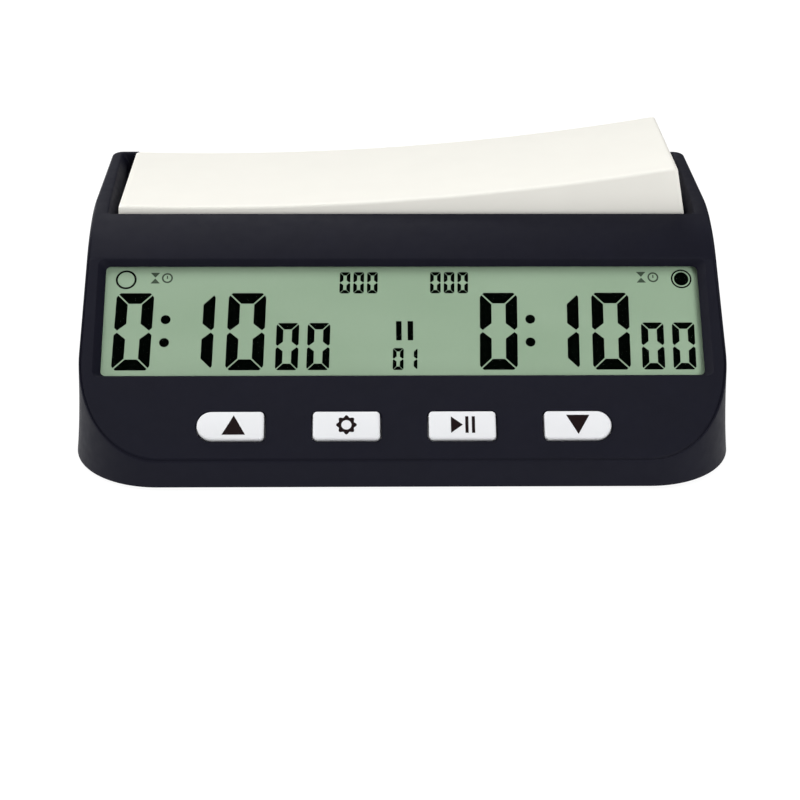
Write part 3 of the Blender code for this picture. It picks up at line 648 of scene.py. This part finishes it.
def gear_outline(centre, teeth=8):
    points = []
    for step in range(96):
        angle = 2 * math.pi * step / 96
        radius = 2.17 + 0.26 * math.cos(teeth * angle)
        points.append((centre + radius * math.cos(angle), KEY_CENTRE + radius * math.sin(angle)))
    return points


def icon_shells(index):
    """The symbol on a key: an up arrow, a gear, play and pause, or a down arrow."""
    low = KEY_PROUD - 0.01
    high = KEY_PROUD + PRINT
    x = (index - 1.5) * KEY_SPACING
    y = KEY_CENTRE
    if index == 0:
        x += 0.8
        return [prism([(x - 2.75, y - 2.4), (x + 2.75, y - 2.4), (x, y + 2.45)], low, high)]
    if index == 1:
        return [band(gear_outline(x), circle(x, y, 1.2, 96), low, high)]
    if index == 2:
        bars = [prism([(x + left, y - 2.08), (x + left + 0.75, y - 2.08), (x + left + 0.75, y + 2.08),
                       (x + left, y + 2.08)], low, high) for left in (0.68, 2.22)]
        return bars + [prism([(x - 2.7, y - 2.08), (x + 0.1, y), (x - 2.7, y + 2.08)], low, high)]
    return [prism([(x - 2.75, y + 2.4), (x, y - 2.45), (x + 2.75, y + 2.4)], low, high)]


def build_keys(materials):
    ink = moulded_plastic("symbol_ink", (0.009, 0.0030, 0.0035), 0.6, 0.2, 0.0, 0.1)
    for index, name in enumerate(KEY_NAMES):
        stack = [(-1.5, -4.1), (-1.5, -3.1), (0.8, -3.1), (0.8, -2.3), (0.0, -2.3)]
        for step in range(8):
            angle = math.radians(90 * step / 7)
            stack.append((-KEY_ROUNDING * (1 - math.cos(angle)),
                          KEY_PROUD - KEY_ROUNDING * (1 - math.sin(angle))))
        sections = [[(x, y, height) for x, y in key_outline(index, grow)] for grow, height in stack]
        cap = solid(f"keycap_{name}", [sections], FACE, materials["button_plastic"])
        finish_piece(cap, f"key_{name}", "button_plastic", f"button_{name}")
        icon = solid(f"key_symbol_{name}", icon_shells(index), FACE, ink)
        finish_piece(icon, f"key_{name}", "black_plastic")


# ---------------------------------------------------------------- rocker

def bar_point(along, below):
    """X and Z of a point on the rocker: along its curved top from the middle, and below that top."""
    angle = along / ROCKER_BEND_RADIUS
    radius = ROCKER_BEND_RADIUS + below
    centre = ROCKER_TOP_ABOVE_PIVOT + ROCKER_BEND_RADIUS
    return radius * math.sin(angle), centre - radius * math.cos(angle)


def bar_ring(inset, below):
    """A ring around the bar, inset from its sides, at a depth below its top."""
    half = ROCKER_HALF_LENGTH - inset + below * math.tan(ROCKER_END_DRAFT)
    front = ROCKER_FRONT + inset
    middle = (ROCKER_FRONT + ROCKER_REAR) / 2
    corner = max(ROCKER_CORNER - inset / 2, 0.2)
    outline = arc(-half + corner, front + corner, corner, 180, 270, 6)
    for step in range(1, 40):
        outline.append((-half + corner + (half - corner) * 2 * step / 40, front))
    outline += arc(half - corner, front + corner, corner, 270, 360, 6)
    outline += [(along, 2 * middle - y) for along, y in reversed(outline)]
    ring = []
    for along, y in outline:
        x, z = bar_point(along, below)
        ring.append((x, y, z))
    return ring


def bar_sections(inset, skirt, edge):
    sections = [bar_ring(inset, skirt)]
    for step in range(8):
        angle = math.radians(90 * step / 7)
        sections.append(bar_ring(inset + edge * (1 - math.cos(angle)),
                                 inset + edge * (1 - math.sin(angle))))
    return sections


def build_rocker(materials):
    bar = solid("rocker_cover", [bar_sections(0.0, ROCKER_SKIRT, ROCKER_EDGE)], ROCKER,
                materials["ivory_plastic"], striped=True)
    hollow = solid("hollow", [bar_sections(ROCKER_WALL, ROCKER_SKIRT + 3, 0.4)], ROCKER, striped=True)
    ribs = []
    for along in RIBS:
        x, low = bar_point(along, ROCKER_SKIRT)
        ribs.append(box(x - 0.7, x + 0.7, 50, 100, low - 0.02, 30))
    cut(hollow, [box(*HUB)], ROCKER)
    for rib in ribs:
        cut(hollow, [rib], ROCKER)
    combine(bar, hollow, "DIFFERENCE")
    cut(bar, [along_y(prism(circle(0, 0, 1.8), HUB[2] - 1, HUB[3] + 1))], ROCKER)
    finish_piece(bar, "rocker", "ivory_plastic", "rocker_bar")


# ---------------------------------------------------------------- display

def slanted(points, x, low):
    return [(x + px + (py + low - DIGITS_LOW) * SLANT, low + py) for px, py in points]


def segment_outlines(width, height, stroke, gap):
    """The seven segments of a digit, mitred where they meet, keyed by their usual letters."""
    middle = height / 2
    chamfer = stroke * 0.34
    miter = gap * 0.7
    top = [((chamfer + miter) / 2, height - (chamfer - miter) / 2),
           (chamfer, height), (width - chamfer, height),
           (width - (chamfer + miter) / 2, height - (chamfer - miter) / 2),
           (width - stroke - miter, height - stroke), (stroke + miter, height - stroke)]
    left = [((chamfer - miter) / 2, height - (chamfer + miter) / 2), (stroke, height - stroke - miter),
            (stroke, middle + gap + stroke * 0.6), (stroke * 0.25, middle + gap * 0.8),
            (0.0, middle + gap + stroke * 0.22), (0.0, height - chamfer - miter)]
    bar = stroke * 0.42
    across = [(stroke * 0.5, middle), (stroke, middle + bar), (width - stroke, middle + bar),
              (width - stroke * 0.5, middle), (width - stroke, middle - bar), (stroke, middle - bar)]
    right = [(width - x, y) for x, y in left]
    return {
        "a": top,
        "b": right,
        "c": [(x, height - y) for x, y in right],
        "d": [(x, height - y) for x, y in top],
        "e": [(x, height - y) for x, y in left],
        "f": left,
        "g": across,
    }


SEGMENTS = {"0": "abcdef", "1": "bc"}


def digit_shells(value, x, low, size):
    outlines = segment_outlines(**size)
    return [marking(slanted(outlines[letter], x, low)) for letter in SEGMENTS[value]]


def marking(outline):
    return prism(outline, GLASS_TOP, GLASS_TOP + MARKING)


def ring_shell(x, y, outer, inner):
    return band(circle(x, y, outer, 64), circle(x, y, inner, 64), GLASS_TOP, GLASS_TOP + MARKING)


def clock_group(start):
    """Hours, minutes and seconds of one player: 0:10 and a small 00."""
    shells = []
    for value, offset in zip("010", BIG_DIGIT_STARTS):
        shells += digit_shells(value, start + offset, DIGITS_LOW, BIG_DIGIT)
    for offset in SECONDS_STARTS:
        shells += digit_shells("0", start + offset, DIGITS_LOW, SECONDS_DIGIT)
    for height in COLON_HEIGHTS:
        x = start + COLON_X + (height - DIGITS_LOW) * SLANT
        shells.append(marking(circle(x, height, 1.2)))
    return shells


def counter_group(start):
    shells = []
    for index in range(3):
        shells += digit_shells("0", start + index * COUNTER_PITCH, COUNTER_LOW, SMALL_DIGIT)
    return shells


def upright_bar(x, low, width, height):
    return marking([(x, low), (x + width, low), (x + width, low + height), (x, low + height)])


def timer_signs(x, y):
    """Two small generic symbols: an hourglass, and a dial with one hand."""
    shells = [marking([(x - 1.15, y + side * 1.45), (x + 1.15, y + side * 1.45), (x, y + side * 0.12)])
              for side in (-1, 1)]
    return shells + [ring_shell(x + 2.95, y, 1.35, 0.95), upright_bar(x + 2.8, y - 0.2, 0.3, 0.85)]


def build_display(materials):
    ink = moulded_plastic("liquid_crystal", (0.0004, 0.0014, 0.0006), 0.5, 0.2, 0.0, 0.0)
    faint = moulded_plastic("faint_liquid_crystal", (0.07, 0.11, 0.07), 0.5, 0.2, 0.0, 0.2)
    mode_number = []
    for value, start in zip("01", MODE_STARTS):
        mode_number += digit_shells(value, start, DIGITS_LOW, SMALL_DIGIT)
    pieces = {
        "left_time": clock_group(CLOCK_GROUPS[0]),
        "right_time": clock_group(CLOCK_GROUPS[1]),
        "move_counters": counter_group(COUNTER_STARTS[0]) + counter_group(COUNTER_STARTS[1]),
        "mode_number": mode_number,
        "pause_sign": [upright_bar(x, 32.6, 1.35, 5.1) for x in PAUSE_BARS],
        "left_side_sign": [ring_shell(*SIDE_SIGNS[0], 2.55, 2.05)],
        "right_side_sign": [ring_shell(*SIDE_SIGNS[1], 2.55, 2.15), marking(circle(*SIDE_SIGNS[1], 1.8))],
    }
    for name, shells in pieces.items():
        piece = solid(f"display_{name}", shells, FACE, ink)
        finish_piece(piece, "case", "black_plastic")
    timers = timer_signs(*TIMER_SIGNS[0]) + timer_signs(*TIMER_SIGNS[1])
    finish_piece(solid("display_timer_signs", timers, FACE, faint), "case", "black_plastic")


# ---------------------------------------------------------------- underside

def build_feet(materials):
    for index in range(1, 5):
        name = f"foot_{index}"
        low, high = (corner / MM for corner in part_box(name))
        centre = (low + high) / 2
        radius = (high.x - low.x) / 2
        profile = [(radius - 1.6, low.z + 0.25), (radius - 1.3, low.z), (radius - 0.45, low.z),
                   (radius - 0.13, low.z + 0.13), (radius, low.z + 0.45), (radius, high.z)]
        foot = solid(f"rubber_foot_{index}", [turned(centre.x, centre.y, profile)], Matrix.Scale(MM, 4),
                     materials["black_rubber"])
        finish_piece(foot, "case", "black_rubber", name)


def build_screws(materials):
    """Pan heads with a cross recess, in place of the plain CAD screws."""
    for index in range(1, 5):
        name = f"case_screw_{index}"
        low, high = (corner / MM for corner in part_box(name))
        centre = (low + high) / 2
        radius = (high.x - low.x) / 2
        profile = [(radius - 0.5, low.z), (radius - 0.15, low.z + 0.12), (radius, low.z + 0.4),
                   (radius, low.z + 0.7), (radius * 0.46, low.z + 0.7), (radius * 0.46, high.z)]
        screw = solid(f"cross_head_screw_{index}", [turned(centre.x, centre.y, profile, 32)],
                      Matrix.Scale(MM, 4), materials["steel"])
        for half_x, half_y in ((1.4, 0.3), (0.3, 1.4)):
            cut(screw, [box(centre.x - half_x, centre.x + half_x, centre.y - half_y, centre.y + half_y,
                            low.z - 1, low.z + 0.55)], Matrix.Scale(MM, 4))
        finish_piece(screw, "case", "steel", name)


def build_door(materials):
    """The battery door: a plate with a lip up the case's back, finger grooves and an arrow."""
    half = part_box("battery_door")[1].x / MM
    front = DOOR_FRONT
    rear = CASE_DEPTH - 0.2
    profile = [(front + 0.25, 0.0)] + arc(rear - 0.6, 0.6, 0.6, -90, 0, 8)
    profile += [(rear, DOOR_LIP_HEIGHT - 0.2), (rear - 0.2, DOOR_LIP_HEIGHT),
                (rear - 1.6, DOOR_LIP_HEIGHT), (rear - 1.8, DOOR_LIP_HEIGHT - 0.2),
                (rear - 1.8, DOOR_THICKNESS), (front, DOOR_THICKNESS), (front, 0.25)]
    sections = []
    for x, inset in ((-half, 0.15), (-half + 0.15, 0.0), (half - 0.15, 0.0), (half, 0.15)):
        sections.append([(x, y, max(z, inset)) for y, z in profile])
    door = solid("battery_cover", [sections], CASE, materials["case_plastic"])
    marks = [box(-8, 8, y - 0.4, y + 0.4, -1, 0.4) for y in (86, 88, 90, 92)]
    marks.append(prism([(-2.2, 79.5), (2.2, 79.5), (0.0, 83.0)], -1, 0.3))
    for mark in marks:
        cut(door, [mark], CASE)
    finish_piece(door, "door", "case_plastic", "battery_door")


def build_power_knob(materials):
    """The slide switch's knob: a ridged button in its slot."""
    low, high = (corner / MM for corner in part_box("power_switch_knob"))
    rings = []
    for inset, height in ((0.35, low.z), (0.12, low.z + 0.1), (0.0, low.z + 0.3), (0.0, high.z)):
        outline = rounded_rectangle(low.x + inset, high.x - inset, low.y + inset, high.y - inset, 0.35)
        rings.append([(x, y, height) for x, y in outline])
    knob = solid("power_knob_cap", [rings], Matrix.Scale(MM, 4), materials["button_plastic"])
    middle = (low.x + high.x) / 2
    for x in (middle - 0.7, middle, middle + 0.7):
        cut(knob, [box(x - 0.12, x + 0.12, low.y - 1, high.y + 1, low.z - 1, low.z + 0.2)],
            Matrix.Scale(MM, 4))
    finish_piece(knob, "power_knob", "button_plastic", "power_switch_knob")


# ---------------------------------------------------------------- stage

def aim(item, target):
    direction = Vector(target) - item.location
    item.rotation_euler = direction.to_track_quat("-Z", "Y").to_euler()


def area_light(name, location, target, width, depth, power):
    light = bpy.data.lights.new(name, "AREA")
    light.shape = "RECTANGLE"
    light.size = width
    light.size_y = depth
    light.energy = power
    item = bpy.data.objects.new(name, light)
    item.location = location
    aim(item, target)
    bpy.context.scene.collection.objects.link(item)


def build_floor():
    nodes = Nodes("studio_floor")
    grey = nodes.ramp(nodes.noise(60.0), 0.3, 0.7, (0.14, 0.14, 0.14), (0.16, 0.16, 0.16))
    nodes.link(grey, "Base Color")
    nodes.set(Roughness=0.9, Specular_IOR_Level=0.0, Emission_Color=(1.0, 1.0, 1.0, 1.0),
              Emission_Strength=FLOOR_GLOW)
    floor = solid("studio_floor", [prism(circle(0, 0, 20.0, 64), -0.02, 0.0)], Matrix.Identity(4),
                  nodes.material)


def build_lights():
    for name, (location, width, depth, power) in SOFTBOXES.items():
        area_light(name, location, (0, 0, 0.03), width, depth, power)
    world = bpy.data.worlds.new("studio")
    world.use_nodes = True
    background = world.node_tree.nodes["Background"]
    background.inputs["Color"].default_value = (1.0, 1.0, 1.0, 1.0)
    background.inputs["Strength"].default_value = ROOM_LIGHT
    bpy.context.scene.world = world


def build_camera():
    camera = bpy.data.cameras.new("camera")
    camera.lens = CAMERA_LENS
    camera.sensor_width = 36.0
    camera.clip_start = 0.01
    item = bpy.data.objects.new("camera", camera)
    turn = Matrix.Rotation(-CAMERA_HEADING, 4, "Z") @ Matrix.Rotation(math.pi / 2 - CAMERA_PITCH, 4, "X")
    item.matrix_world = (Matrix.Translation(CASE @ Vector(CAMERA)) @ turn
                         @ Matrix.Rotation(CAMERA_ROLL, 4, "Z"))
    bpy.context.scene.collection.objects.link(item)
    bpy.context.scene.camera = item


def build_scene():
    materials = make_materials()
    dress_cad_nodes(materials)
    build_camera()
    build_upper_shell(materials)
    build_keys(materials)
    build_rocker(materials)
    build_display(materials)
    build_feet(materials)
    build_screws(materials)
    build_door(materials)
    build_power_knob(materials)
    build_floor()
    build_lights()
    bpy.context.scene.view_settings.view_transform = "Standard"


build_scene()
